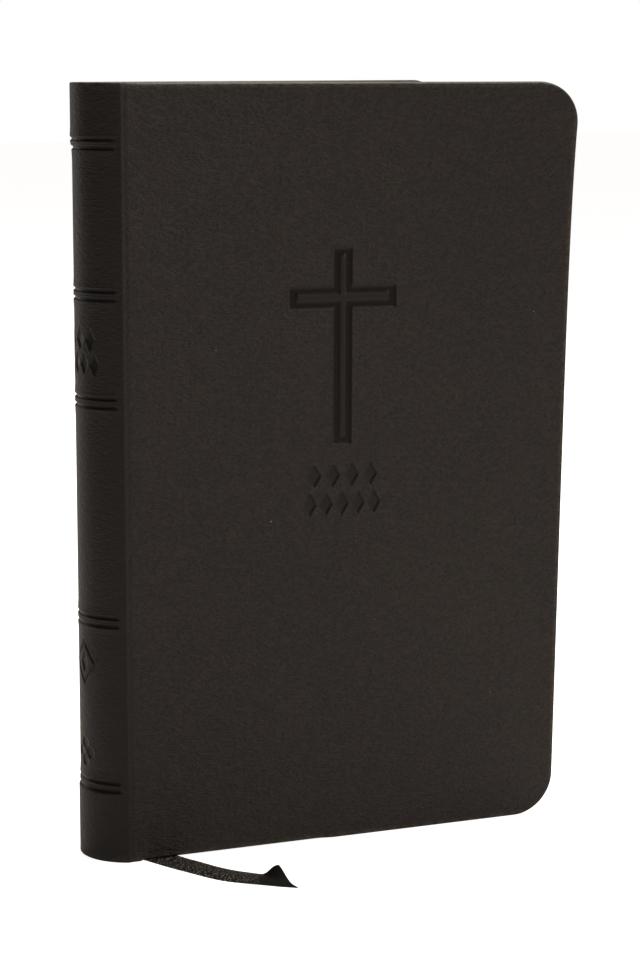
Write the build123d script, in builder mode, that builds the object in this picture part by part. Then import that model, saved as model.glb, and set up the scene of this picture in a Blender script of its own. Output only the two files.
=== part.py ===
"""A slim flexible-cover Bible with rounded corners, standing on its tail with both covers ajar.

Millimetres, +Z up. The origin is under the middle of the book, on the surface it stands on. The spine
faces -X, the front cover faces -Y and the fore edge is at +X. Every leaf-like piece (cover, flyleaf,
section) is drawn on a plane that starts at its own hinge line, so its rest angle is set in one place.
"""

from build123d import *
from math import asin, atan2, cos, degrees, hypot, radians, sin, sqrt, tan
import os

os.makedirs("parts", exist_ok=True)

# Driving dimensions
cover_height = 213.0
cover_width = 131.2  # from the shoulder to the fore edge
book_thickness = 24.8
spine_bulge = 7.1  # how far the spine stands out behind the shoulders
cap_bulge = 7.6  # and where the turned-in head and tail make it thicker
side_radius = 1.2  # of the tight bends beside the shoulders
square = 3.0  # how far a cover overhangs the leaves at head and tail
cover_corner = 12.0
shoulder_x = -61.7  # centres the standing book on the origin
rest_open = 8.0  # degrees that each cover stands ajar

# Cover layers, from the outside in
skin = 0.7
board = 0.9
turn_in = 0.25
sheet = 0.15
joint_gap = 1.0  # from the hinge line to the cover's near edge
joint_width = 3.5  # the soft strip between the hinge and the board
turn_in_width = 12.0

# Leaves
sections_per_side = 9
section_thickness = 1.09
section_pitch = 1.1144
middle_gap = 0.22  # room for the ribbon between the two middle sections
leaf_width = 127.8
fold_radius = 0.18  # half the thickness of a section at its fold
fold_taper = 8.0  # over this width a section grows to its full thickness
leaf_corner = cover_corner - square
flyleaf_thickness = 0.2
flyleaf_ratio = 0.6  # how far a flyleaf turns for each degree of its cover
section_ratio = 0.42  # the same for the outermost section; the others share the rest evenly

# Ribbon
ribbon_width = 9.0
ribbon_thickness = 0.2
ribbon_inner_thickness = 0.14
ribbon_x = shoulder_x + 7.5
ribbon_route = [(0.0, 0.0), (0.0, -6.0), (2.9, -17.0), (6.6, -30.0), (12.0, -42.0), (21.6, -50.8)]
ribbon_relief = 0.3  # the front cover's lower edge clears the ribbon by this much

# Worked out
half = book_thickness / 2
hinge_y = half - skin / 2  # a cover turns about the middle of its bending skin
block_height = cover_height - 2 * square
block_top = square + block_height
outer_fold_y = middle_gap / 2 + (sections_per_side - 0.5) * section_pitch
spine_rounding = 2.6  # how much the folds are rounded at the back of the block
fold_arc = (outer_fold_y**2 + spine_rounding**2) / (2 * spine_rounding)
arc_centre_x = shoulder_x - 0.3 - spine_rounding + fold_arc
arc_half_angle = degrees(asin(9.8 / fold_arc))


def leaf_plane(x, y, z, angle):
    """A plane along a leaf that starts at (x, y) and makes this angle with +X: its x runs to the fore edge."""
    along = Vector(cos(radians(angle)), sin(radians(angle)), 0)
    return Plane(origin=(x, y, z), x_dir=along, z_dir=along.cross(Vector(0, 0, 1)))


def floor_plane(x, y, z, angle):
    """The same start and direction, seen from above, for a leaf's cross-section."""
    along = (cos(radians(angle)), sin(radians(angle)), 0)
    return Plane(origin=(x, y, z), x_dir=along, z_dir=(0, 0, 1))


def spine_outline(bulge, half_width, radius):
    """The closed cross-section of a rounded spine: a crown arc between two tighter shoulder arcs."""
    centre_y = half_width - radius
    crown = (bulge**2 + centre_y**2 - radius**2) / (2 * (bulge - radius))
    scale = radius / (crown - radius)
    meet_x, meet_y = -(crown - bulge) * scale, centre_y * (1 + scale)
    near = TangentArc((0, -half_width), (meet_x, -meet_y), tangent=(-1, 0))
    back = TangentArc((meet_x, -meet_y), (meet_x, meet_y), tangent=near % 1)
    far = TangentArc((meet_x, meet_y), (0, half_width), tangent=back % 1)
    Line(far @ 1, near @ 0)


def spine_section(bulge, inset, z=0):
    """A filled spine cross-section at height z, moved in by inset all round."""
    with BuildSketch() as section:
        with BuildLine():
            spine_outline(bulge - inset, half - inset, side_radius - inset)
        make_face()
    return section.sketch.moved(Location((shoulder_x, 0, z)))


def cover_outline(length, height, corner):
    """A cover-shaped sketch with square spine corners and round fore corners, from x = 0 and y = 0."""
    with BuildSketch() as outline:
        Rectangle(length, height, align=(Align.MIN, Align.MIN))
        fillet(outline.vertices().group_by(Axis.X)[-1], corner)
    return outline.sketch


def back_strip(inner, outer, low, high):
    """A strip round the back of the block, between two radii and two heights."""
    start = radians(180 - arc_half_angle)
    out = Vector(cos(start), sin(start), 0)
    plane = Plane(origin=(arc_centre_x, 0, 0), x_dir=out, z_dir=out.cross(Vector(0, 0, 1)))
    with BuildSketch(plane) as profile:
        with Locations(((inner + outer) / 2, (low + high) / 2)):
            Rectangle(outer - inner, high - low)
    revolve(profile.sketch, axis=Axis((arc_centre_x, 0, 0), (0, 0, 1)), revolution_arc=2 * arc_half_angle)


def save(name, part):
    part.label = name
    export_step(part, f"parts/{name}.step")


# Spine skin: one thin wrapped strip, thicker where it is turned in at head and tail
tail_cap = 19.5
head_cap = 16.5
cap_width = 22.0  # across the back, short of the shoulders
band_heights = [21.2, 67.5, 127.6, 156.6, 196.9]
band_line = 0.6
band_depth = 0.3
band_spread = 1.15

with BuildPart() as spine_skin:
    extrude(spine_section(spine_bulge, 0), amount=cover_height)
    for low, cap_height in ((0, tail_cap), (cover_height - head_cap, head_cap)):
        with BuildSketch(Plane.XY.offset(low)):
            add(spine_section(cap_bulge, 0))
            with Locations((shoulder_x, 0)):
                Rectangle(4 * cap_bulge, cap_width, mode=Mode.INTERSECT)
        extrude(amount=cap_height)
    # double lines tooled across the back, stopping short of the shoulders
    for height in band_heights:
        for line in (-band_spread, band_spread):
            low = height + line - band_line / 2
            with BuildSketch(Plane.XY.offset(low)):
                add(spine_section(cap_bulge + 1, 0))
                add(spine_section(spine_bulge, band_depth), mode=Mode.SUBTRACT)
                with Locations((shoulder_x - 1.3, 0)):
                    Rectangle(2.6, book_thickness + 2, mode=Mode.SUBTRACT)
            extrude(amount=band_line, mode=Mode.SUBTRACT)
    # two rows of upright lozenges, a lozenge frame with a small one in it, and a four-lobed sprig
    crown = Plane(origin=(shoulder_x - cap_bulge - 1, 0, 0), x_dir=(0, -1, 0), z_dir=(-1, 0, 0))
    with BuildSketch(crown):
        with Locations(*[(4.6 * (i - 1), 144.6) for i in range(3)]):
            Polygon((0, 2.9), (1.7, 0), (0, -2.9), (-1.7, 0))
        with Locations(*[(4.0 * (i - 1.5), 138.0) for i in range(4)]):
            Polygon((0, 2.9), (1.5, 0), (0, -2.9), (-1.5, 0))
        with Locations((0, 55.3)):
            Polygon((0, 6.2), (5.2, 0), (0, -6.2), (-5.2, 0))
            Polygon((0, 5.4), (4.5, 0), (0, -5.4), (-4.5, 0), mode=Mode.SUBTRACT)
            Polygon((0, 2.6), (1.6, 0), (0, -2.6), (-1.6, 0))
        with Locations((0, 30.0)):
            with PolarLocations(2.4, 4):
                Circle(1.5)
    extrude(amount=-9, mode=Mode.SUBTRACT)
    # the unbroken inner layer under the tooling
    extrude(spine_section(spine_bulge, band_depth), amount=cover_height)
    extrude(spine_section(spine_bulge, skin), amount=cover_height, mode=Mode.SUBTRACT)
    # the rounded ends of the strip, which the covers hinge on
    for side in (-1, 1):
        with BuildSketch():
            with Locations((shoulder_x, side * hinge_y)):
                Circle(skin / 2 - 0.02)
        extrude(amount=cover_height)
save("spine_skin", spine_skin.part)

# Card strip that stiffens the back, inside the skin
with BuildPart() as spine_inlay:
    with BuildSketch(Plane.XY.offset(square)):
        add(spine_section(spine_bulge, skin + 0.02))
        add(spine_section(spine_bulge, skin + 0.32), mode=Mode.SUBTRACT)
        with Locations((shoulder_x, 0)):
            Rectangle(2 * spine_bulge, 17, mode=Mode.INTERSECT)
    extrude(amount=block_height)
save("spine_inlay", spine_inlay.part)

# Sewing thread: a row of stitches across the folds at each station, joined by runs along the folds
stitch = 0.2
thread_arc = fold_arc + fold_radius + 0.12 + stitch
stations = [square + block_height * (i + 0.5) / 6 for i in range(6)]
thread_angle = degrees(asin(9.4 / thread_arc))

with BuildPart() as sewing_thread:
    start = radians(180 - thread_angle)
    out = Vector(cos(start), sin(start), 0)
    across = Plane(origin=(arc_centre_x, 0, 0), x_dir=out, z_dir=out.cross(Vector(0, 0, 1)))
    for station in stations:
        with BuildSketch(across):
            with Locations((thread_arc, station)):
                Circle(stitch)
        revolve(axis=Axis((arc_centre_x, 0, 0), (0, 0, 1)), revolution_arc=2 * thread_angle)
    for i, low in enumerate(stations[:-1]):
        turn = radians(180 - thread_angle if i % 2 else 180 + thread_angle)
        with BuildSketch(Plane.XY.offset(low)):
            with Locations((arc_centre_x + thread_arc * cos(turn), thread_arc * sin(turn))):
                Circle(stitch)
        extrude(amount=stations[i + 1] - low)
save("sewing_thread", sewing_thread.part)

# Open-weave cloth and paper glued over the sewn folds
mull_arc = thread_arc + stitch + 0.05
with BuildPart() as spine_mull:
    back_strip(mull_arc, mull_arc + 0.25, square + 6, block_top - 6)
save("spine_mull", spine_mull.part)

lining_arc = mull_arc + 0.28
with BuildPart() as spine_lining:
    back_strip(lining_arc, lining_arc + 0.25, square + 1, block_top - 1)
save("spine_lining", spine_lining.part)

# Head and tail bands: a beaded edge over the ends of the folds, on a tape glued behind the lining
bead = 0.8
bead_arc = fold_arc - 0.3
tape_arc = lining_arc + 0.3
for name, bead_z, tape_low in (
    ("head_band", block_top + bead + 0.1, block_top - 9),
    ("tail_band", square - bead - 0.1, square - bead - 0.25),
):
    with BuildPart() as band:
        start = radians(180 - arc_half_angle)
        out = Vector(cos(start), sin(start), 0)
        across = Plane(origin=(arc_centre_x, 0, 0), x_dir=out, z_dir=out.cross(Vector(0, 0, 1)))
        with BuildSketch(across):
            with Locations((bead_arc, bead_z)):
                Circle(bead)
            with Locations(((bead_arc + tape_arc + 0.2) / 2, bead_z)):
                Rectangle(tape_arc + 0.2 - bead_arc, 0.3)
            with Locations((tape_arc + 0.1, tape_low + (9 + bead + 0.25) / 2)):
                Rectangle(0.2, 9 + bead + 0.25)
        revolve(axis=Axis((arc_centre_x, 0, 0), (0, 0, 1)), revolution_arc=2 * arc_half_angle)
    save(name, band.part)

# Ribbon marker: flat between the middle sections, then out at the tail and loosely over the surface
with BuildPart() as ribbon_in_book:
    with BuildSketch(Plane.XY.offset(square)):
        with Locations((ribbon_x, 0)):
            Rectangle(ribbon_width, ribbon_inner_thickness)
    extrude(amount=block_height)
save("ribbon_in_book", ribbon_in_book.part)

route = [Vector(ribbon_x + x, y) for x, y in ribbon_route]
radii = []
for before, corner, after in zip(route, route[1:], route[2:]):
    into, onward = corner - before, after - corner
    turn = radians(into.get_angle(onward))
    radii.append(0.45 * min(into.length, onward.length) / tan(turn / 2))
print("ribbon radii", [round(r, 1) for r in radii])

with BuildPart() as ribbon_tail:
    with BuildSketch() as strip:
        with BuildLine() as path:
            FilletPolyline(*route, radius=radii)
        trace(line_width=ribbon_width)
        # the end is cut on a slant
        end, onward = route[-1], (route[-1] - route[-2]).normalized()
        aside = Vector(-onward.Y, onward.X)
        with BuildLine(mode=Mode.ADD):
            Polyline(
                end + aside * 6 - onward * 4.5,
                end + aside * 6 + onward * 3,
                end - aside * 6 + onward * 3,
                close=True,
            )
        make_face(mode=Mode.SUBTRACT)
    extrude(amount=ribbon_thickness)
    with BuildSketch():
        with Locations((ribbon_x, 0)):
            Rectangle(ribbon_width, ribbon_thickness)
    extrude(amount=square)
print("ribbon length", round(path.wire().length + square, 1))
print("ribbon volume", round(ribbon_tail.part.volume, 1))
save("ribbon_tail", ribbon_tail.part)

# Covers: skin wrapped round a thin board and turned in on three sides, with a pasted-down endpaper
board_start = joint_gap + joint_width
board_length = cover_width - board_start - 0.6
cross_x, cross_z = 63.2, 154.3  # where the arms cross
cross_up, cross_down, cross_arm = 13.5, 40.8, 15.6
stem_width, arm_width = 5.1, 5.9
stem_ridge, arm_ridge = 1.6, 2.2  # the raised bar inside the outline
outline_width = 2.0  # at the ends

for name, side in (("front", -1), ("back", 1)):
    outward = -side  # the leaf plane's normal faces out on the front cover and in on the back cover
    hinge_plane = leaf_plane(shoulder_x, side * hinge_y, 0, side * rest_open)
    face = hinge_plane.offset(-outward * skin / 2)  # the inner face of the skin
    relief = Polygon(
        (3.6, -1), (4.0, ribbon_relief), (56, ribbon_relief), (62, 0), (62, -1), align=None, mode=Mode.PRIVATE
    )

    with BuildPart() as cover_skin:
        with BuildSketch(face):
            with Locations((joint_gap, 0)):
                add(cover_outline(cover_width - joint_gap, cover_height, cover_corner))
        extrude(amount=outward * skin)
        outer_edges = cover_skin.faces().sort_by(Axis(face.origin, face.z_dir * outward))[-1].edges()
        fillet(outer_edges, 0.45)
        # the wrapped rim round the board, and the lined joint strip
        with BuildSketch(face):
            with Locations((board_start, 0)):
                add(cover_outline(cover_width - board_start, cover_height, cover_corner))
            with Locations((board_start, 0.6)):
                pocket = cover_outline(board_length, cover_height - 1.2, cover_corner - 0.6)
                add(pocket, mode=Mode.SUBTRACT)
        extrude(amount=-outward * board)
        with BuildSketch(face):
            with Locations((joint_gap, 0)):
                Rectangle(joint_width, cover_height, align=(Align.MIN, Align.MIN))
        extrude(amount=-outward * 0.5)
        # the turn-ins
        with BuildSketch(face.offset(-outward * board)):
            with Locations((board_start, 0)):
                add(cover_outline(cover_width - board_start, cover_height, cover_corner))
            with Locations((board_start - 1, turn_in_width)):
                Rectangle(
                    cover_width - turn_in_width - board_start + 1,
                    cover_height - 2 * turn_in_width,
                    align=(Align.MIN, Align.MIN),
                    mode=Mode.SUBTRACT,
                )
        extrude(amount=-outward * turn_in)
        if name == "front":
            with BuildSketch(face.offset(skin)):
                stem_middle = cross_z + (cross_up - cross_down) / 2
                stem_height = cross_up + cross_down
                with Locations((cross_x, stem_middle)):
                    Rectangle(stem_width, stem_height)
                with Locations((cross_x, cross_z)):
                    Rectangle(2 * cross_arm, arm_width)
                    Rectangle(2 * (cross_arm - outline_width), arm_ridge, mode=Mode.SUBTRACT)
                with Locations((cross_x, stem_middle)):
                    Rectangle(stem_ridge, stem_height - 2 * outline_width, mode=Mode.SUBTRACT)
                with Locations(*[(cross_x + 5.6 * (i - 1.5), 104.6) for i in range(4)]):
                    Polygon((0, 3.1), (2.0, 0), (0, -3.1), (-2.0, 0))
                with Locations(*[(cross_x + 4.8 * (i - 2), 96.6) for i in range(5)]):
                    Polygon((0, 3.1), (1.8, 0), (0, -3.1), (-1.8, 0))
            extrude(amount=-0.3, mode=Mode.SUBTRACT)
            with BuildSketch(face.offset(2)):
                add(relief)
            extrude(amount=-5, mode=Mode.SUBTRACT)
    save(f"{name}_cover_skin", cover_skin.part)

    with BuildPart() as cover_board:
        with BuildSketch(face):
            with Locations((board_start, 0.6)):
                add(cover_outline(board_length, cover_height - 1.2, cover_corner - 0.6))
        extrude(amount=-outward * board)
    save(f"{name}_board", cover_board.part)

    with BuildPart() as pastedown:
        with BuildSketch(face.offset(-outward * board)):
            with Locations((board_start, turn_in_width)):
                Rectangle(
                    cover_width - turn_in_width - board_start,
                    cover_height - 2 * turn_in_width,
                    align=(Align.MIN, Align.MIN),
                )
        extrude(amount=-outward * turn_in)
        with BuildSketch(face.offset(-outward * (board + turn_in))):
            with Locations((board_start, square)):
                add(cover_outline(cover_width - board_start - square, block_height, leaf_corner))
        extrude(amount=-outward * sheet)
    save(f"{name}_pastedown", pastedown.part)

# Leaves: one free flyleaf inside each cover and nine sewn sections on each side of the middle
for name, side in (("front", -1), ("back", 1)):
    fold_x = shoulder_x - 0.3
    fold_y = side * (half - skin - board - turn_in - sheet - 0.03 - flyleaf_thickness / 2)
    angle = side * rest_open * flyleaf_ratio
    with BuildPart() as flyleaf:
        with BuildSketch(floor_plane(fold_x, fold_y, square, angle)):
            Rectangle(leaf_width, flyleaf_thickness, align=(Align.MIN, Align.CENTER))
            Circle(flyleaf_thickness / 2)
        extrude(amount=block_height)
        across = Axis((0, 0, 0), (-sin(radians(angle)), cos(radians(angle)), 0))
        far_edges = flyleaf.edges().filter_by(across).sort_by(Axis.X)[-2:]
        fillet(far_edges, leaf_corner)
    save(f"{name}_flyleaf", flyleaf.part)

for number in range(1, 2 * sections_per_side + 1):
    side = -1 if number <= sections_per_side else 1
    steps = sections_per_side + 0.5 - number  # steps from the middle, minus on the back half
    depth = abs(steps)
    fold_y = side * (middle_gap / 2 + depth * section_pitch)
    fold_x = arc_centre_x - sqrt(fold_arc**2 - fold_y**2)
    angle = side * rest_open * section_ratio * depth / (sections_per_side - 0.5)
    with BuildPart() as section:
        with BuildSketch(floor_plane(fold_x, fold_y, square, angle)):
            Polygon(
                (0, fold_radius),
                (fold_taper, section_thickness / 2),
                (leaf_width, section_thickness / 2),
                (leaf_width, -section_thickness / 2),
                (fold_taper, -section_thickness / 2),
                (0, -fold_radius),
                align=None,
            )
            Circle(fold_radius)
        extrude(amount=block_height)
        across = Axis((0, 0, 0), (-sin(radians(angle)), cos(radians(angle)), 0))
        far_edges = section.edges().filter_by(across).sort_by(Axis.X)[-2:]
        fillet(far_edges, leaf_corner)
    save(f"section_{number:02d}", section.part)
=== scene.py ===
from math import atan2, cos, pi, radians, sin, sqrt

import bmesh
import bpy
import numpy as np
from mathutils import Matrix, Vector


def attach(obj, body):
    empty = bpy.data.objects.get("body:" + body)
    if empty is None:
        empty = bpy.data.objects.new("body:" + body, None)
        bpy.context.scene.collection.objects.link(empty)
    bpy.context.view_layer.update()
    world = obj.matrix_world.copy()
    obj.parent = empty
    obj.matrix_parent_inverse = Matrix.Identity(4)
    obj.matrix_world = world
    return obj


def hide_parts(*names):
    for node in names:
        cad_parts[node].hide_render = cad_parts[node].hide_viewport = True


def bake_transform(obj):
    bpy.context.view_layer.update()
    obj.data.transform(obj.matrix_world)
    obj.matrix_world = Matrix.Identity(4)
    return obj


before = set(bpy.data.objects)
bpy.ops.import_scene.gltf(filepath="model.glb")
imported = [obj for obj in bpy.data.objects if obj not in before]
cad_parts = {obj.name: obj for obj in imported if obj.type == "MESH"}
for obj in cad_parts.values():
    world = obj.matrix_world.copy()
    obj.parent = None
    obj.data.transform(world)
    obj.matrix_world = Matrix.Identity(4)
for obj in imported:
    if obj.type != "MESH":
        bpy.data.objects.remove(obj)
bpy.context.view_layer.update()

# The book, in millimetres: +Z up from tail to head, the spine at -X and the front cover at -Y.
MM = 0.001
height, width = 213.0, 131.2
half = 12.4
shoulder = -61.7
skin = 0.7
hinge = half - skin / 2
rest_open = radians(8)
joint = 4.5  # the soft strip between the shoulder and the board
bend = 1.8  # the part of it that folds
square = 3.0
corner = 12.0
random = np.random.default_rng(7)

# ------------------------------------------------------------------ camera, light and floor
scene = bpy.context.scene
yaw, pitch = radians(31.24), radians(8.93)
camera = bpy.data.objects.new("camera", bpy.data.cameras.new("camera"))
scene.collection.objects.link(camera)
camera.location = (-0.3854, -0.6469, 0.2186)
forward = Vector((sin(yaw) * cos(pitch), cos(yaw) * cos(pitch), -sin(pitch)))
camera.rotation_euler = forward.to_track_quat("-Z", "Y").to_euler()
camera.data.lens = 100.0
camera.data.sensor_width = 36.0
camera.data.clip_start, camera.data.clip_end = 0.02, 50
scene.camera = camera
scene.view_settings.view_transform = "Standard"


def node(tree, kind, inputs=(), **settings):
    """A shader node with its settings made and its inputs given a value or linked to a socket."""
    made = tree.nodes.new(kind)
    for name, value in settings.items():
        setattr(made, name, value)
    for name, value in dict(inputs).items():
        if isinstance(value, bpy.types.NodeSocket):
            tree.links.new(value, made.inputs[name])
        else:
            made.inputs[name].default_value = value
    return made


def mixed(tree, factor, a, b):
    """The colour between a and b."""
    return node(tree, "ShaderNodeMix", {0: factor, 6: a, 7: b}, data_type="RGBA").outputs[2]


def maths(tree, operation, a, b=0.0):
    return node(tree, "ShaderNodeMath", {0: a, 1: b}, operation=operation).outputs[0]


def spread(tree, value, low, high, to_low=0.0, to_high=1.0):
    """The value carried from the range low to high over to the range to_low to to_high."""
    inputs = {"Value": value, "From Min": low, "From Max": high, "To Min": to_low, "To Max": to_high}
    return node(tree, "ShaderNodeMapRange", inputs).outputs["Result"]


def noise(tree, place, scale, detail, **more):
    inputs = {"Vector": place, "Scale": scale, "Detail": detail, **more}
    return node(tree, "ShaderNodeTexNoise", inputs).outputs["Fac"]


def attribute(tree, name, output="Fac"):
    return node(tree, "ShaderNodeAttribute", attribute_name=name).outputs[output]


def raised(tree, height, strength, distance):
    """The normal of a surface bumped by that height."""
    inputs = {"Height": height, "Strength": strength, "Distance": distance}
    return node(tree, "ShaderNodeBump", inputs).outputs["Normal"]


def softbox(name, place, target, size, power, colour=(1, 1, 1)):
    lamp = bpy.data.objects.new(name, bpy.data.lights.new(name, "AREA"))
    scene.collection.objects.link(lamp)
    lamp.data.shape = "RECTANGLE"
    lamp.data.size, lamp.data.size_y = size
    lamp.data.energy = power
    lamp.data.color = colour
    lamp.location = place
    lamp.rotation_euler = (Vector(target) - Vector(place)).to_track_quat("-Z", "Y").to_euler()


softbox("key", (1.3, -1.95, 1.0), (0, 0, 0.08), (1.2, 1.0), 20.5, (1.0, 0.895, 0.815))
softbox("fill", (-1.3, -0.5, 0.6), (0, 0, 0.1), (0.6, 1.0), 0.6, (1.0, 0.93, 0.9))
softbox("rim", (-0.42, 1.3, 0.25), (-0.06, 0, 0.1), (0.4, 0.9), 1.7, (1.0, 0.90, 0.84))
softbox("top", (0.45, 0.12, 1.2), (0, 0, 0.1), (1.2, 0.8), 24, (1.0, 0.94, 0.82))

world = bpy.data.worlds.new("studio")
scene.world = world
world.use_nodes = True
tree = world.node_tree
seen = node(tree, "ShaderNodeLightPath").outputs["Is Camera Ray"]
strength = spread(tree, seen, 0.0, 1.0, 0.155, 1.0)
tint = mixed(tree, seen, (1.0, 0.93, 0.88, 1), (1, 1, 1, 1))
tree.links.new(tint, tree.nodes["Background"].inputs["Color"])
tree.links.new(strength, tree.nodes["Background"].inputs["Strength"])

# ------------------------------------------------------------------ mesh helpers


def smooth(t):
    """0 below 0, 1 above 1, and a smooth rise between."""
    t = np.clip(t, 0, 1)
    return t * t * (3 - 2 * t)


def lines(*spans):
    """Grid lines from (start, end, step) spans that follow each other."""
    found = [np.array([spans[0][0]])]
    for start, end, step in spans:
        count = max(1, int(np.ceil((end - start) / step - 1e-6)))
        found.append(np.linspace(start, end, count + 1)[1:])
    return np.concatenate(found)


def grid_faces(rows, columns, first=0):
    r, c = np.meshgrid(np.arange(rows - 1), np.arange(columns - 1), indexing="ij")
    a = (first + r * columns + c).ravel()
    return np.stack([a, a + 1, a + columns + 1, a + columns], 1).tolist()


def edge_loop(rows, columns, closed=True):
    """Indices round a grid: the low row, the last column, the high row and, if closed, the first column."""
    low = list(range(columns))
    far = [r * columns + columns - 1 for r in range(1, rows)]
    high = [(rows - 1) * columns + c for c in range(columns - 2, -1, -1)]
    near = [r * columns for r in range(rows - 2, 0, -1)]
    return low + far + high + (near if closed else [])


def leaf_grid(columns, rows, round_corner):
    """(along, up) points of a leaf whose two fore corners are round."""
    s, z = np.meshgrid(columns.astype(float), rows.astype(float))
    length = columns[-1]
    for end, sign in ((rows[0], -1), (rows[-1], 1)):
        x = (s - (length - round_corner)) / round_corner
        y = (sign * (z - end) + round_corner) / round_corner
        inside = (x > 0) & (y > 0)
        x, y = x[inside], y[inside]
        s[inside] = length - round_corner + round_corner * x * np.sqrt(1 - y**2 / 2)
        z[inside] = end + sign * round_corner * (y * np.sqrt(1 - x**2 / 2) - 1)
    return s, z


def strip_faces(a, b, closed=True):
    """Quads between two equal loops of indices."""
    n = len(a)
    last = n if closed else n - 1
    return [[a[i], a[(i + 1) % n], b[(i + 1) % n], b[i]] for i in range(last)]


def zip_faces(a, at, b, bt):
    """Triangles between two open loops of different counts, matched by their fractions along."""
    faces, i, j = [], 0, 0
    while i < len(a) - 1 or j < len(b) - 1:
        if j == len(b) - 1 or (i < len(a) - 1 and at[i + 1] <= bt[j + 1]):
            faces.append([a[i], a[i + 1], b[j]])
            i += 1
        else:
            faces.append([a[i], b[j + 1], b[j]])
            j += 1
    return faces


def fractions(points):
    steps = np.hypot(*np.diff(points, axis=0).T[:2])
    far = np.concatenate([[0], np.cumsum(steps)])
    return far / far[-1]


def make(name, points, faces, material, sharp=50, **attributes):
    """A closed mesh object from points in millimetres, shaded smooth below that angle."""
    mesh = bpy.data.meshes.new(name)
    mesh.from_pydata((np.asarray(points) * MM).tolist(), [], faces)
    for key, values in attributes.items():
        values = np.asarray(values, np.float32)
        kind = "FLOAT_VECTOR" if values.ndim == 2 else "FLOAT"
        made = mesh.attributes.new(key, kind, "POINT")
        made.data.foreach_set("vector" if values.ndim == 2 else "value", values.ravel())
    shape = bmesh.new()
    shape.from_mesh(mesh)
    bmesh.ops.recalc_face_normals(shape, faces=shape.faces)
    shape.to_mesh(mesh)
    shape.free()
    mesh.shade_smooth()
    mesh.set_sharp_from_angle(angle=radians(sharp))
    mesh.materials.append(material)
    obj = bpy.data.objects.new(name, mesh)
    scene.collection.objects.link(obj)
    return obj


# ------------------------------------------------------------------ materials


def new_material(name):
    material = bpy.data.materials.new(name)
    material.use_nodes = True
    tree = material.node_tree
    return material, tree, tree.nodes["Principled BSDF"]


def leather_material():
    """Black imitation leather with a fine wrinkled grain, smooth and darker where it is pressed."""
    material, tree, shader = new_material("cover_leather")
    wrap = attribute(tree, "wrap", "Vector")
    tooled, worn = attribute(tree, "tooled"), attribute(tree, "worn")
    drift = node(tree, "ShaderNodeTexNoise", {"Vector": wrap, "Scale": 0.16, "Detail": 2.0}).outputs["Color"]
    bent = node(tree, "ShaderNodeVectorMath", {0: drift, 1: (3.2, 3.2, 0)}, operation="MULTIPLY").outputs[0]
    moved = node(tree, "ShaderNodeVectorMath", {0: wrap, 1: bent}, operation="ADD").outputs[0]
    flat = node(tree, "ShaderNodeMapping", {"Vector": moved, "Scale": (0.7, 1.5, 1)}).outputs[0]
    cells = node(
        tree, "ShaderNodeTexVoronoi", {"Vector": flat, "Scale": 0.85, "Smoothness": 0.7}, feature="SMOOTH_F1"
    ).outputs["Distance"]
    wrinkle = noise(tree, flat, 0.8, 1.5, Distortion=0.22)
    pores = noise(tree, wrap, 3.4, 2.0)
    # creases run where the noise passes its middle value
    crease = spread(tree, maths(tree, "ABSOLUTE", maths(tree, "SUBTRACT", wrinkle, 0.5)), 0.0, 0.11)
    relief = maths(tree, "ADD", maths(tree, "MULTIPLY", cells, 0.85), maths(tree, "MULTIPLY", crease, 0.45))
    relief = maths(tree, "ADD", relief, maths(tree, "MULTIPLY", pores, 0.2))
    plain = spread(tree, tooled, 0.0, 0.55, 1.0, 0.15)
    relief = maths(tree, "MULTIPLY", relief, plain)
    cloud = noise(tree, wrap, 0.022, 2.0)
    tone = spread(tree, maths(tree, "ADD", relief, maths(tree, "MULTIPLY", cloud, 0.4)), 0.65, 1.35)
    colour = mixed(tree, tone, (0.0106, 0.0078, 0.0069, 1), (0.0208, 0.0155, 0.0134, 1))
    colour = mixed(tree, maths(tree, "MULTIPLY", tooled, 0.92), colour, (0.0044, 0.0034, 0.0031, 1))
    # rubbed edges: the pale warm colour is partly wear and partly a painted highlight along the edges
    rub = noise(tree, wrap, 0.5, 4.0)
    rub_and_highlight = maths(tree, "MULTIPLY", worn, spread(tree, rub, 0.38, 0.66, 0.1, 0.75))
    colour = mixed(tree, rub_and_highlight, colour, (0.075, 0.058, 0.038, 1))
    # a few tiny pale specks of dust
    dust = node(tree, "ShaderNodeTexVoronoi", {"Vector": wrap, "Scale": 0.19})
    size = node(tree, "ShaderNodeSeparateColor", {"Color": dust.outputs["Color"]}).outputs["Red"]
    reach = spread(tree, size, 0.8, 1.0, 0.0, 0.042)
    speck = maths(tree, "LESS_THAN", dust.outputs["Distance"], reach)
    colour = mixed(tree, maths(tree, "MULTIPLY", speck, 0.8), colour, (0.30, 0.26, 0.20, 1))
    rough = spread(tree, relief, 0.2, 1.4, 0.62, 0.5)
    rough = maths(tree, "SUBTRACT", rough, maths(tree, "MULTIPLY", tooled, 0.28))
    tree.links.new(colour, shader.inputs["Base Color"])
    tree.links.new(rough, shader.inputs["Roughness"])
    tree.links.new(raised(tree, relief, 0.9, 0.00022), shader.inputs["Normal"])
    tree.links.new(spread(tree, tooled, 0.45, 1.0, 0.255, 0.15), shader.inputs["Specular IOR Level"])
    return material


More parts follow.
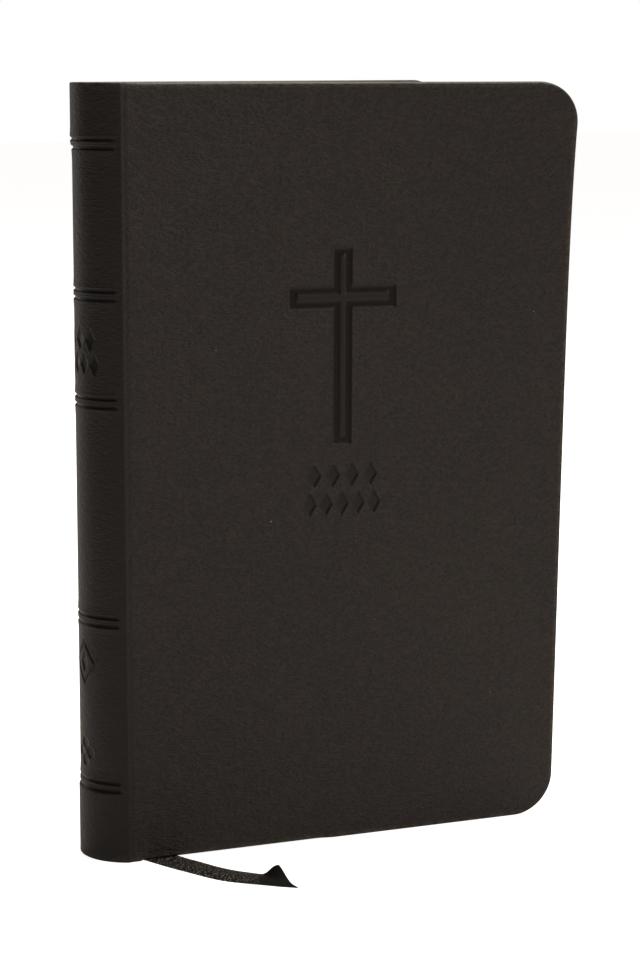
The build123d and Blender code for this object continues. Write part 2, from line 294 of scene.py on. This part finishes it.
def paper_material(name, tint, fibre=0.08, layered=False):
    """Uncoated paper with a faint fibre; layered paper shows its leaves along the cut edges."""
    material, tree, shader = new_material(name)
    place = node(tree, "ShaderNodeTexCoord").outputs["Object"]
    fibres = noise(tree, place, 900.0, 3.0)
    cloud = noise(tree, place, 28.0, 2.0)
    dark = tuple(c * (1 - fibre) for c in tint) + (1,)
    yellowed = (tint[0], tint[1] * 0.96, tint[2] * 0.88, 1)
    colour = mixed(tree, spread(tree, fibres, 0.3, 0.7), dark, tint + (1,))
    colour = mixed(tree, spread(tree, cloud, 0.3, 0.7, 0, 0.25), colour, yellowed)
    relief = maths(tree, "MULTIPLY", fibres, 0.4)
    if layered:
        inputs = {"W": attribute(tree, "leaf"), "Scale": 1.0, "Detail": 2.0}
        edge = node(tree, "ShaderNodeTexNoise", inputs, noise_dimensions="1D").outputs["Fac"]
        shade = tuple(c * 0.62 for c in tint) + (1,)
        colour = mixed(tree, spread(tree, edge, 0.35, 0.62, 0.55, 0.0), colour, shade)
        relief = maths(tree, "ADD", relief, edge)
    tree.links.new(colour, shader.inputs["Base Color"])
    tree.links.new(raised(tree, relief, 0.4, 0.00005), shader.inputs["Normal"])
    shader.inputs["Roughness"].default_value = 0.82
    shader.inputs["Specular IOR Level"].default_value = 0.3
    return material


def woven_material(name, light, dark, along, pitch, rough=0.7, coordinate="Object"):
    """Cloth: two crossed sets of threads of that pitch, in the coordinate's own units."""
    material, tree, shader = new_material(name)
    if coordinate == "Object":
        place = node(tree, "ShaderNodeTexCoord").outputs["Object"]
    else:
        place = attribute(tree, coordinate, "Vector")
    inputs = {"Vector": place, "Scale": 0.314 / pitch, "Distortion": 0.6, "Detail": 1.0}
    waves = [
        node(tree, "ShaderNodeTexWave", inputs, bands_direction=direction).outputs["Fac"] for direction in along
    ]
    weave = maths(tree, "MULTIPLY", *waves)
    fuzz = noise(tree, place, 0.5 / pitch, 3.0)
    height = maths(tree, "ADD", weave, maths(tree, "MULTIPLY", fuzz, 0.6))
    colour = mixed(tree, spread(tree, height, 0.2, 1.1), dark + (1,), light + (1,))
    step = pitch if coordinate == "Object" else pitch * MM
    bump = raised(tree, height, 0.7, step * 0.35)
    tree.links.new(colour, shader.inputs["Base Color"])
    tree.links.new(spread(tree, fuzz, 0.3, 0.7, rough - 0.08, rough + 0.08), shader.inputs["Roughness"])
    tree.links.new(bump, shader.inputs["Normal"])
    shader.inputs["Specular IOR Level"].default_value = 0.35
    return material


def satin_material():
    """Black satin ribbon: glinting threads on black, plain and smooth where its end is sealed."""
    material, tree, shader = new_material("ribbon_satin")
    place = attribute(tree, "weave", "Vector")
    woven = node(tree, "ShaderNodeMapping", {"Vector": place, "Scale": (1.0, 1.3, 1)}).outputs[0]
    glint = spread(tree, noise(tree, woven, 1.8, 0.0), 0.63, 0.70)
    sealed = attribute(tree, "sealed")
    glint = maths(tree, "MULTIPLY", glint, maths(tree, "SUBTRACT", 1.0, sealed))
    fuzz = noise(tree, place, 2.2, 3.0)
    colour = mixed(tree, fuzz, (0.003, 0.0028, 0.0028, 1), (0.010, 0.009, 0.0085, 1))
    colour = mixed(tree, glint, colour, (0.46, 0.41, 0.35, 1))
    height = maths(tree, "ADD", glint, maths(tree, "MULTIPLY", fuzz, 0.5))
    height = maths(tree, "MULTIPLY", height, spread(tree, sealed, 0.0, 1.0, 1.0, 0.2))
    bump = raised(tree, height, 0.8, 0.00014)
    tree.links.new(colour, shader.inputs["Base Color"])
    tree.links.new(spread(tree, fuzz, 0.3, 0.7, 0.44, 0.6), shader.inputs["Roughness"])
    tree.links.new(bump, shader.inputs["Normal"])
    shader.inputs["Specular IOR Level"].default_value = 0.28
    return material


leather = leather_material()
satin = satin_material()
leaf_paper = paper_material("leaf_paper", (0.80, 0.765, 0.68), 0.05, layered=True)
end_paper = paper_material("endpaper", (0.66, 0.63, 0.56), 0.07)
card = paper_material("board", (0.36, 0.31, 0.24), 0.25)
kraft = paper_material("kraft_paper", (0.42, 0.30, 0.18), 0.2)
thread = woven_material("thread", (0.80, 0.78, 0.72), (0.55, 0.52, 0.46), "XZ", 0.00045)
mull = woven_material("mull", (0.72, 0.69, 0.60), (0.36, 0.33, 0.27), "YZ", 0.0009)
band_cord = woven_material("band_cord", (0.045, 0.042, 0.04), (0.012, 0.011, 0.011), "XY", 0.55, 0.5, "weave")
inner_satin = woven_material(
    "ribbon_satin_inner", (0.030, 0.028, 0.028), (0.006, 0.0055, 0.0055), "XZ", 0.00042, 0.46
)

floor_material, tree, shader = new_material("floor")
shader.inputs["Base Color"].default_value = (0.70, 0.68, 0.66, 1)
shader.inputs["Roughness"].default_value = 0.9
shader.inputs["Specular IOR Level"].default_value = 0.0
shader.inputs["Emission Color"].default_value = (1, 1, 1, 1)
seen = node(tree, "ShaderNodeLightPath").outputs["Is Camera Ray"]
tree.links.new(spread(tree, seen, 0.0, 1.0, 0.16, 0.88), shader.inputs["Emission Strength"])
mesh = bpy.data.meshes.new("floor")
mesh.from_pydata([(-6, -6, 0), (6, -6, 0), (6, 6, 0), (-6, 6, 0)], [], [(0, 1, 2, 3)])
mesh.materials.append(floor_material)
floor = bpy.data.objects.new("floor", mesh)
scene.collection.objects.link(floor)

# ------------------------------------------------------------------ ribbon marker
ribbon_x = shoulder + 7.5
ribbon_width, ribbon_thickness = 9.0, 0.2
ribbon_route = [(0.0, 0.0), (0.0, -6.0), (2.9, -17.0), (6.6, -30.0), (12.0, -42.0), (21.6, -50.8)]
route = [(ribbon_x, 0.0, 3.0)] + [(ribbon_x + x, y, 0.14) for x, y in ribbon_route]

curve = bpy.data.curves.new("ribbon_line", "CURVE")
curve.dimensions = "3D"
spline = curve.splines.new("NURBS")
spline.points.add(len(route) - 1)
for point, place in zip(spline.points, route):
    point.co = [c * MM for c in place] + [1]
spline.order_u = 3
spline.use_endpoint_u = True
spline.resolution_u = 24
line_object = bpy.data.objects.new("ribbon_line", curve)
scene.collection.objects.link(line_object)
line_mesh = bpy.data.meshes.new_from_object(line_object)
ribbon_line = np.array([v.co for v in line_mesh.vertices]) / MM
bpy.data.objects.remove(line_object)

steps = np.linalg.norm(np.diff(ribbon_line, axis=0), axis=1)
ribbon_far = np.concatenate([[0], np.cumsum(steps)])
ribbon_length = ribbon_far[-1]
end_slant, end_lift = 3.6, 3.4  # half the slant of the cut end, and how high its far corner curls
end_reach = 8.5  # how much of the ribbon curls


def along_ribbon(far):
    """The point that far along the middle line."""
    return np.array([np.interp(far, ribbon_far, ribbon_line[:, k]) for k in range(3)])


def ribbon_mesh():
    rows, columns = 120, 15
    points, weave, sealed = [], [], []
    for fraction in np.linspace(0, 1, rows):
        for across in np.linspace(-1, 1, columns):
            # the end is cut on a slant: longer on the near side
            cut = (-across * end_slant) * smooth((fraction - 0.72) / 0.28)
            far = fraction * (ribbon_length - 1.0) + cut
            beyond = max(0.0, far - ribbon_length)
            ahead = along_ribbon(min(far + 1.5, ribbon_length))
            behind = along_ribbon(max(min(far, ribbon_length) - 1.5, 0))
            heading = ahead - behind
            level = heading[:2] / (np.hypot(*heading[:2]) + 1e-9)
            if far < 4:
                level = np.array([0.0, -1.0])
            heading = heading / np.linalg.norm(heading)
            aside = np.array([-level[1], level[0], 0.0])
            place = along_ribbon(far) + aside * across * ribbon_width / 2 + heading * beyond
            # the far corner of the end curls up, and the strip lies in a very shallow arch
            near_end = smooth(1 - (1 - fraction) * ribbon_length / end_reach)
            lift = end_lift * near_end**1.8 * smooth((across + 0.5) / 1.5) ** 1.1
            arch = 0.45 * smooth((far - 22) / 12) * (1 - across**2) * (1 - near_end)
            wave = 0.07 * smooth((far - 20) / 10) * (1 + sin(far * 0.3 + across)) * (1 - near_end)
            points.append(place + np.array([0, 0, lift + arch + wave]) - aside * lift * 0.28)
            weave.append((far, across * ribbon_width / 2, 0))
            past = fraction * ribbon_length - across * 1.5 - (ribbon_length - end_reach)
            sealed.append(smooth(past / 1.5))
    points, weave = np.array(points), np.array(weave)
    grid = points.reshape(rows, columns, 3)
    du, dv = np.gradient(grid, axis=0), np.gradient(grid, axis=1)
    normal = np.cross(du, dv)
    normal /= np.linalg.norm(normal, axis=2)[..., None]
    offset = (normal * ribbon_thickness / 2).reshape(-1, 3)
    both = np.concatenate([points + offset, points - offset])
    both[:, 2] = np.maximum(both[:, 2], 0.0)
    count = rows * columns
    rim = edge_loop(rows, columns)
    faces = grid_faces(rows, columns) + grid_faces(rows, columns, count)
    faces += strip_faces(rim, [i + count for i in rim])
    weave = np.concatenate([weave, weave])
    return make("ribbon_marker", both, faces, satin, weave=weave, sealed=sealed + sealed)


ribbon = ribbon_mesh()
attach(ribbon, "spine")
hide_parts("ribbon_tail")

# ------------------------------------------------------------------ tooling on the leather


def box_distance(x, z, cx, cz, wide, tall):
    """Signed distance to an upright rectangle, minus inside."""
    qx, qz = np.abs(x - cx) - wide / 2, np.abs(z - cz) - tall / 2
    return np.hypot(np.maximum(qx, 0), np.maximum(qz, 0)) + np.minimum(np.maximum(qx, qz), 0)


def lozenge_distance(x, z, cx, cz, wide, tall):
    a, b = wide / 2, tall / 2
    return (np.abs(x - cx) / a + np.abs(z - cz) / b - 1) * a * b / np.hypot(a, b)


def pressed(distance, depth, soft=0.22, lip=0.07):
    """Height of leather pressed in where distance is below 0, with the lip that it squeezes up round it."""
    share = smooth(0.5 - distance / (2 * soft))
    return -depth * share + lip * np.exp(-(((distance - soft - 0.28) / 0.26) ** 2)), share


cross_x, cross_z = 63.2, 154.3
cross_up, cross_down, cross_arm = 13.5, 40.8, 15.6
stem_width, arm_width = 5.1, 5.9
stem_ridge, arm_ridge, outline_width = 1.6, 2.2, 2.0


def front_tooling(s, z):
    middle, tall = cross_z + (cross_up - cross_down) / 2, cross_up + cross_down
    outer = np.minimum(
        box_distance(s, z, cross_x, middle, stem_width, tall),
        box_distance(s, z, cross_x, cross_z, 2 * cross_arm, arm_width),
    )
    inner = np.minimum(
        box_distance(s, z, cross_x, middle, stem_ridge, tall - 2 * outline_width),
        box_distance(s, z, cross_x, cross_z, 2 * (cross_arm - outline_width), arm_ridge),
    )
    relief, share = pressed(np.maximum(outer, -inner), 0.36, 0.16)
    # the raised bar is rubbed dark too, but keeps some of its grain
    share = np.maximum(share, 0.55 * smooth(0.5 - inner / 0.4))
    marks = np.full_like(s, 99.0)
    for count, pitch, level, wide in ((4, 5.6, 104.6, 4.0), (5, 4.8, 96.6, 3.6)):
        for i in range(count):
            at = cross_x + pitch * (i - (count - 1) / 2)
            marks = np.minimum(marks, lozenge_distance(s, z, at, level, wide, 6.2))
    mark_relief, mark_share = pressed(marks, 0.34)
    return relief + mark_relief, np.maximum(share, 0.6 * mark_share)


def no_tooling(s, z):
    return np.zeros_like(s), np.zeros_like(s)


# ------------------------------------------------------------------ cover parts
curl_height = 12.6


def front_curl(s, z):
    """How far the flexible front cover curls outwards, most at its upper fore corner."""
    up = np.clip(z / height, 0, 1)
    return curl_height * np.clip(s / width, 0, 1) ** 2 * (0.68 * up + 0.32 * up**8)


def no_curl(s, z):
    return np.zeros_like(s)


def cover_place(side, curl, s, out, z):
    """Points at rest for a distance along the cover, out from the middle of its skin, and up."""
    out = out + curl(s, z)
    turn = side * rest_open * smooth(s / bend)
    x = s * np.cos(turn) - side * out * np.sin(turn)
    y = s * np.sin(turn) + side * out * np.cos(turn)
    return np.stack([shoulder + x, side * hinge + y, z], -1).reshape(-1, 3)


rim = 0.75  # how far the rounded edge of a cover reaches in
face_corner = corner - rim
outer_out = skin / 2
ribbon_gap = 0.3
turn_in = corner - 0.2  # how far the leather is turned in, short of the middle of the round corner
back_inset = 2.2  # how far in the flat grid on the leather's hidden face starts
card_inset = 1.15
spine_share = 0.3  # the leather of the spine is this much smoother and darker


def cover_columns(start, inset, fine, coarse, near=()):
    """Grid lines across a cover from start, after any near spans, and finer over its round corners."""
    return lines(*near, (start, width - corner, coarse), (width - corner, width - inset, fine))


def cover_rows(inset, fine, coarse):
    """Grid lines up a cover, finer over its round corners."""
    upper = height - corner
    return lines((inset, corner, fine), (corner, upper, coarse), (upper, height - inset, fine))


def inner_level(s):
    """The inner face of a cover: thin at the fold, lined over the joint, and lower over the board."""
    return -0.42 - 0.43 * smooth((s - 1.0) / 0.6) - 0.65 * smooth((s - 3.8) / 1.4)


def ribbon_room(s, z):
    """The lower edge of the front cover clears the ribbon."""
    return ribbon_gap * smooth((s - 3.4) / 0.6) * smooth((62 - s) / 6) * np.clip(1 - z / 8, 0, 1)


def wrapped_skin(side, columns, rows, tooling, curl, lifted, wrap_start):
    """Leather face, rounded edges, turn-ins and inner face, as one closed shell."""
    s, z = leaf_grid(columns, rows, face_corner)
    n_rows, n_columns = s.shape
    relief, share = tooling(s, z)
    # the smoother leather of the spine fades out just past the fold
    share = np.maximum(share, spine_share * (1 - smooth(s / bend)))
    loop = edge_loop(n_rows, n_columns, closed=False)
    base_s, base_z = s.ravel()[loop], z.ravel()[loop]
    corner_s = width - corner
    centre_z = np.clip(base_z, corner, height - corner)
    away_s = np.where(base_s > corner_s + 1e-6, base_s - corner_s, 0.0)
    beside = (base_s < width - rim - 1e-6) | (base_z < corner) | (base_z > height - corner)
    away_z = np.where(beside, base_z - centre_z, 0.0)
    size = np.hypot(away_s, away_z)
    away_s, away_z = away_s / size, away_z / size
    inner = inner_level(base_s)
    turned = inner + 0.04 + 0.21 * smooth((base_s - 1.0) / 0.6)
    rings = []
    for k in range(1, 9):
        angle = pi * k / 8
        rings.append((rim * sin(angle), (outer_out + inner) / 2 + (outer_out - inner) / 2 * cos(angle)))
    for inset, out in ((3.4, inner), (turn_in, inner), (turn_in, turned), (1.1, turned), (1.05, -outer_out)):
        rings.append((rim - inset, out))
    all_s, all_z, all_out = [s.ravel()], [z.ravel()], [(outer_out + relief).ravel()]
    edge_gap = np.minimum(width - s, np.minimum(z, height - z)).ravel()
    tooled, worn = [share.ravel()], [1 - smooth((edge_gap - 0.6) / 0.7)]
    first = s.size
    faces = grid_faces(n_rows, n_columns)
    previous = loop
    ring_ends = []
    for k, (offset, out) in enumerate(rings):
        ring_s, ring_z = base_s + away_s * offset, base_z + away_z * offset
        all_s.append(ring_s)
        all_z.append(ring_z)
        all_out.append(np.broadcast_to(out, ring_s.shape))
        # the face's edge gets the pale rubbed colour, partly wear and partly a painted highlight, and the rim
        # beyond it is drawn dark and smooth
        tooled.append(np.full(len(loop), 1.0 if 1 <= k < 8 else 0.0))
        worn.append(np.full(len(loop), 1.0 if k < 1 else 0.1))
        ring = list(range(first, first + len(loop)))
        faces += strip_faces(previous, ring, closed=False)
        ring_ends.append((ring[0], ring[-1]))
        previous, first = ring, first + len(loop)
    back_columns = cover_columns(joint, back_inset, 3, 12, near=((0, 2, 0.25), (2, joint, 1.2)))
    back_s, back_z = leaf_grid(back_columns, cover_rows(back_inset, 3, 14), corner - back_inset)
    back_loop = edge_loop(*back_s.shape, closed=False)
    outline = np.stack([all_s[-1], all_z[-1]], 1)
    back_outline = np.stack([back_s.ravel()[back_loop], back_z.ravel()[back_loop]], 1)
    back_ids = [first + i for i in back_loop]
    faces += grid_faces(*back_s.shape, first)
    faces += zip_faces(previous, fractions(outline), back_ids, fractions(back_outline))
    all_s.append(back_s.ravel())
    all_z.append(back_z.ravel())
    all_out.append(np.full(back_s.size, -outer_out))
    tooled.append(np.zeros(back_s.size))
    worn.append(np.zeros(back_s.size))
    # the end along the shoulder
    end = [r * n_columns for r in range(n_rows)]
    end += [last for _, last in ring_ends]
    end += [first + r * back_s.shape[1] for r in range(back_s.shape[0] - 1, -1, -1)]
    end += [begin for begin, _ in reversed(ring_ends)]
    faces.append(end)
    s, z, out = (np.concatenate(a) for a in (all_s, all_z, all_out))
    wrap = np.stack([wrap_start - side * s, z, out * 0], 1)
    if lifted:
        z = z + ribbon_room(s, z)
    name = "front" if side < 0 else "back"
    points = cover_place(side, curl, s, out, z)
    tooled, worn = np.concatenate(tooled), np.concatenate(worn)
    obj = make(f"{name}_leather", points, faces, leather, wrap=wrap, tooled=tooled, worn=worn)
    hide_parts(f"{name}_cover_skin")
    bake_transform(obj)


def cover_layer(name, replaced, side, curl, columns, rows, round_corner, level, outs, material, body):
    """A closed sheet of a cover between two distances from a level given along it."""
    s, z = leaf_grid(columns, rows, round_corner)
    if side < 0:
        z = z + ribbon_room(s, z)
    points = np.concatenate([cover_place(side, curl, s, level(s) + out, z) for out in outs])
    rim_loop = edge_loop(*s.shape)
    faces = grid_faces(*s.shape) + grid_faces(*s.shape, s.size)
    faces += strip_faces(rim_loop, [i + s.size for i in rim_loop])
    obj = make(name, points, faces, material)
    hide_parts(replaced)
    if columns[0] < joint:
        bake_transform(obj)
    else:
        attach(obj, body)


spine_length = 30.4  # round the back, from shoulder to shoulder
face_near = (0, 2, 0.2), (2, joint, 0.8)
end_columns = (width - corner, width - rim, 1.1)
low_rows, high_rows = (rim, corner, 1.1), (height - corner, height - rim, 1.1)
# the front's grid is finest over the cross and the lozenges
front_columns = lines(
    *face_near, (joint, 46.4, 2.4), (46.4, 80.0, 0.26), (80.0, width - corner, 2.4), end_columns
)
front_rows = lines(
    low_rows, (corner, 92.0, 2.6), (92.0, 109.0, 0.26), (109.0, 112.4, 0.7), (112.4, 169.0, 0.42),
    (169.0, height - corner, 2.5), high_rows,
)
back_columns = cover_columns(joint, rim, 1.1, 2.4, near=face_near)
back_rows = cover_rows(rim, 1.1, 2.6)
wrapped_skin(-1, front_columns, front_rows, front_tooling, front_curl, True, 0.0)
wrapped_skin(1, back_columns, back_rows, no_tooling, no_curl, False, -spine_length)

for side, name, curl in ((-1, "front", front_curl), (1, "back", no_curl)):
    cover_layer(
        f"{name}_card", f"{name}_board", side, curl,
        cover_columns(joint + 0.15, card_inset, 1.5, 6), cover_rows(card_inset, 1.5, 8),
        corner - card_inset, np.zeros_like, (-0.38, -1.2), card, f"{name}_cover",
    )
    cover_layer(
        f"{name}_endpaper", f"{name}_pastedown", side, curl,
        cover_columns(joint + 0.8, square, 1.2, 5, near=((1.0, joint + 0.8, 0.2),)), cover_rows(square, 1.2, 6),
        corner - square, inner_level, (-0.01, -0.15), end_paper, f"{name}_cover",
    )

# ------------------------------------------------------------------ spine
band_heights = (21.2, 67.5, 127.6, 156.6, 196.9)
tail_cap, head_cap = 19.5, 16.5
spine_bulge, cap_bulge = 7.1, 7.6
side_radius = 1.2
spine_edge = 0.45  # radius of the rolled edge at head and tail
lap_depth = 12.4  # how far the leather is turned in there


def spine_curve(bulge, sides, crowns):
    """Points round the spine's section, from front shoulder to back, and their outward directions."""
    side_y = half - side_radius
    crown = (bulge**2 + side_y**2 - side_radius**2) / (2 * (bulge - side_radius))
    scale = side_radius / (crown - side_radius)
    meet = np.array([-(crown - bulge) * scale, side_y * (1 + scale)])
    side_turn = atan2(-meet[0], meet[1] - side_y)
    crown_turn = atan2(meet[1], crown - bulge - meet[0])
    points, outs = [], []
    for t in sides:
        out = np.array([-sin(t * side_turn), -cos(t * side_turn)])
        points.append(np.array([0, -side_y]) + side_radius * out)
        outs.append(out)
    for t in crowns:
        out = np.array([-cos(t * crown_turn), sin(t * crown_turn)])
        points.append(np.array([crown - bulge, 0]) + crown * out)
        outs.append(out)
    for t in sides[::-1]:
        out = np.array([-sin(t * side_turn), cos(t * side_turn)])
        points.append(np.array([0, side_y]) + side_radius * out)
        outs.append(out)
    return np.array(points), np.array(outs)


def spine_leather():
    sides = np.linspace(0, 1, 13)
    crowns = np.linspace(-1, 1, 67)[1:-1]
    thin, thin_out = spine_curve(spine_bulge, sides, crowns)
    thick, thick_out = spine_curve(cap_bulge, sides, crowns)
    around = np.concatenate([[0], np.cumsum(np.hypot(*np.diff(thin, axis=0).T))])
    middle = around[-1] / 2
    spans, at = [], spine_edge
    fine = [(b - 2.1, b + 2.1, 0.19) for b in band_heights]
    fine += [(134.4, 148.2, 0.34), (48.6, 62.0, 0.34), (25.4, 34.6, 0.34)]
    for low, high, step in sorted(fine):
        spans += [(at, low, 2.4), (low, high, step)]
        at = high
    spans.append((at, height - spine_edge, 2.4))
    rows = lines(*spans)
    z, u = np.meshgrid(rows, around - middle, indexing="ij")
    from_shoulder = np.broadcast_to(-thin[:, 0], z.shape)
    # double lines across the back, stopping short of the shoulders
    distance = np.full(z.shape, 9.0)
    for band in band_heights:
        for line in (-1.15, 1.15):
            distance = np.minimum(distance, np.abs(z - band - line) - 0.34)
    groove, groove_share = pressed(distance, 0.36, 0.2, 0.15)
    reach = smooth((from_shoulder - 1.8) / 0.5)
    groove, groove_share = groove * reach, groove_share * reach
    # two rows of lozenges, a lozenge frame and a four-lobed sprig
    marks = np.full(z.shape, 9.0)
    for count, pitch, level, wide in ((3, 4.6, 144.6, 3.4), (4, 4.0, 138.0, 3.0)):
        for i in range(count):
            at = pitch * (i - (count - 1) / 2)
            marks = np.minimum(marks, lozenge_distance(u, z, at, level, wide, 5.8))
    frame_out, frame_in = (lozenge_distance(u, z, 0, 55.3, w, t) for w, t in ((10.4, 12.4), (8.8, 10.6)))
    marks = np.minimum(marks, np.maximum(frame_out, -frame_in))
    marks = np.minimum(marks, lozenge_distance(u, z, 0, 55.3, 3.2, 5.2))
    for quarter in range(4):
        lobe_u, lobe_z = 2.4 * cos(quarter * pi / 2), 30.0 + 2.4 * sin(quarter * pi / 2)
        marks = np.minimum(marks, np.hypot(u - lobe_u, z - lobe_z) - 1.5)
    mark, mark_share = pressed(marks, 0.34)
    relief = groove + mark
    tooled = np.maximum(groove_share, mark_share)
    rim_steps = [pi * k / 8 for k in range(1, 8)]
    levels = np.concatenate([
        rows, [height - spine_edge + spine_edge * sin(a) for a in rim_steps],
        rows[::-1], [spine_edge - spine_edge * sin(a) for a in rim_steps],
    ])
    lap = np.maximum(smooth((rows - (height - lap_depth)) / 0.8), smooth((lap_depth - rows) / 0.8))
    inner_inset = skin + 0.2 * lap
    rolled = [spine_edge - spine_edge * cos(a) for a in rim_steps]
    insets = np.concatenate([rows * 0, rolled, inner_inset[::-1], rolled[::-1]])
    relief_rows = np.zeros((len(levels), len(around)))
    relief_rows[: len(rows)] = relief
    tooled_rows = np.zeros_like(relief_rows)
    tooled_rows[: len(rows)] = np.maximum(tooled, spine_share)
    # the edges at head and tail get the pale rubbed colour, partly wear and partly a painted highlight
    outside = len(rows) + len(rim_steps)
    end_gap = np.minimum(levels, height - levels)[:outside, None]
    worn_rows = np.zeros_like(relief_rows)
    worn_rows[:outside] = (1 - smooth((end_gap - 0.35) / 0.6)) * 0.6
    # thicker over the turned-in head and tail
    tail_share = smooth((tail_cap + 1.2 - levels) / 2.4)
    head_share = smooth((levels - height + head_cap + 1.2) / 2.4)
    weight = np.maximum(tail_share, head_share)[:, None, None]
    base = thin[None] * (1 - weight) + thick[None] * weight
    out = thin_out[None] * (1 - weight) + thick_out[None] * weight
    out = out / np.linalg.norm(out, axis=2)[..., None]
    place = base + out * (relief_rows - insets[:, None])[..., None]
    points = np.concatenate(
        [place + [shoulder, 0], np.broadcast_to(levels[:, None, None], place.shape[:2] + (1,))], 2
    ).reshape(-1, 3)
    count, wide = relief_rows.shape
    faces = grid_faces(count, wide)
    faces += strip_faces([(count - 1) * wide + c for c in range(wide)], list(range(wide)), closed=False)
    for column in (0, wide - 1):
        n = len(rows)
        outer = [r * wide + column for r in range(n)]
        inner = [(n + len(rim_steps) + n - 1 - r) * wide + column for r in range(n)]
        faces += strip_faces(outer, inner, closed=False)
        head = [(n - 1 + k) * wide + column for k in range(len(rim_steps) + 2)]
        tail = [((2 * n + len(rim_steps) - 1 + k) % count) * wide + column for k in range(len(rim_steps) + 2)]
        faces += [head, tail]
    wrap_z, wrap_s = np.meshgrid(levels, -around, indexing="ij")
    wrap = np.stack([wrap_s, wrap_z, np.zeros_like(wrap_z)], 2).reshape(-1, 3)
    tooled, worn = tooled_rows.ravel(), worn_rows.ravel()
    obj = make("spine_leather", points, faces, leather, wrap=wrap, tooled=tooled, worn=worn)
    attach(obj, "spine")
    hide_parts("spine_skin")


spine_leather()

# ------------------------------------------------------------------ leaves
per_side, section_thickness, section_pitch, middle_gap = 9, 1.09, 1.1144, 0.22
leaf_width, fold_radius, fold_taper = 127.8, 0.18, 8.0
leaf_corner = corner - square
outer_fold = middle_gap / 2 + (per_side - 0.5) * section_pitch
rounding = 2.6
fold_arc = (outer_fold**2 + rounding**2) / (2 * rounding)
arc_x = shoulder - 0.3 - rounding + fold_arc
slabs = 6  # each section is drawn as this many slabs of leaves
section_ratio = 0.42  # the outermost section's share of its cover's turn
leaves_per_section = 32

for number in range(1, 2 * per_side + 1):
    side = -1 if number <= per_side else 1
    depth = abs(per_side + 0.5 - number)
    fold_y = side * (middle_gap / 2 + depth * section_pitch)
    fold_x = arc_x - sqrt(fold_arc**2 - fold_y**2)
    angle = side * rest_open * section_ratio * depth / (per_side - 0.5)
    points, faces, leaf = [], [], []
    for k in range(slabs):
        trim, low_trim, high_trim = random.uniform(0, 0.22), random.uniform(0, 0.12), random.uniform(0, 0.12)
        length = leaf_width - trim
        columns = lines((0.0, 9.0, 1.5), (9.0, length - leaf_corner, 12), (length - leaf_corner, length, 1.3))
        low, high = square + low_trim, height - square - high_trim
        rows = lines(
            (low, low + leaf_corner, 1.3), (low + leaf_corner, high - leaf_corner, 22),
            (high - leaf_corner, high, 1.3),
        )
        s, z = leaf_grid(columns, rows, leaf_corner)
        thick = fold_radius + (section_thickness / 2 - fold_radius) * np.clip(s / fold_taper, 0, 1)
        for fraction in (k + 0.04, k + 0.96):
            across = thick * (2 * fraction / slabs - 1)
            x = fold_x + s * cos(angle) - across * sin(angle)
            y = fold_y + s * sin(angle) + across * cos(angle)
            points.append(np.stack([x, y, z], -1).reshape(-1, 3))
            leaf.append(np.full(s.size, fraction / slabs * leaves_per_section + number * 40))
        first = 2 * k * s.size
        around = edge_loop(*s.shape)
        faces += grid_faces(*s.shape, first) + grid_faces(*s.shape, first + s.size)
        faces += strip_faces([i + first for i in around], [i + first + s.size for i in around])
    points, leaf = np.concatenate(points), np.concatenate(leaf)
    obj = make(f"leaves_{number:02d}", points, faces, leaf_paper, 40, leaf=leaf)
    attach(obj, f"section_{number:02d}")
    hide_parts(f"section_{number:02d}")

# ------------------------------------------------------------------ head and tail bands
stitch = 0.2
lining_arc = fold_arc + fold_radius + 0.12 + 2 * stitch + 0.05 + 0.28
tape_arc = lining_arc + 0.3
bead, bead_arc = 0.8, fold_arc - 0.3
band_reach = 9.8  # from the middle of the back to a band's end
tape_height, tape_thickness, flap = 10.05, 0.2, 0.14
block_top = height - square


def back_point(radius, angle, z):
    return (arc_x - radius * cos(angle), radius * sin(angle), z)


def band_end(name, bead_z, tape_low):
    turn = np.arcsin(band_reach / fold_arc)
    points, faces, weave = [], [], []
    rings, around = 181, 14
    for i in range(rings):
        t = i / (rings - 1)
        angle = -turn + 2 * turn * t
        for j in range(around):
            phi = 2 * pi * j / around
            radius = bead * (0.93 + 0.07 * cos(2 * pi * t * 30 + phi))
            if i in (0, rings - 1):
                radius *= 0.6
            points.append(back_point(bead_arc + radius * cos(phi), angle, bead_z + radius * sin(phi)))
            weave.append((t * 20, j * 0.4, 0))
    for i in range(rings - 1):
        a = [i * around + j for j in range(around)]
        faces += strip_faces(a, [k + around for k in a])
    faces += [list(range(around)), [(rings - 1) * around + j for j in range(around)]]
    # the tape behind the lining, and its fold over the top of it
    for near, far, low, high in (
        (tape_arc, tape_arc + tape_thickness, tape_low, tape_low + tape_height),
        (bead_arc, tape_arc, bead_z - flap, bead_z + flap),
    ):
        corners = ((near, low), (far, low), (far, high), (near, high))
        first = len(points)
        steps = 25
        for i in range(steps):
            angle = -turn + 2 * turn * i / (steps - 1)
            points += [back_point(r, angle, z) for r, z in corners]
            weave += [(i * 0.8, z, 0) for _, z in corners]
        for i in range(steps - 1):
            a = [first + i * 4 + j for j in range(4)]
            faces += strip_faces(a, [k + 4 for k in a])
        faces += [[first + j for j in range(4)], [first + (steps - 1) * 4 + j for j in range(4)]]
    obj = make(f"{name}_cord", points, faces, band_cord, weave=weave)
    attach(obj, "spine")
    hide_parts(name)


band_end("head_band", block_top + bead + 0.1, block_top - 9)
band_end("tail_band", square - bead - 0.1, square - bead - 0.25)

# ------------------------------------------------------------------ CAD nodes that stay
for name, material, slot in (
    ("spine_inlay", card, "board"),
    ("sewing_thread", thread, "thread"),
    ("spine_mull", mull, "mull"),
    ("spine_lining", kraft, "kraft_paper"),
    ("ribbon_in_book", inner_satin, "ribbon_satin"),
    ("front_flyleaf", end_paper, "endpaper"),
    ("back_flyleaf", end_paper, "endpaper"),
):
    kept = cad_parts[name]
    kept.data.materials.clear()
    kept.data.materials.append(material)

bpy.context.view_layer.update()
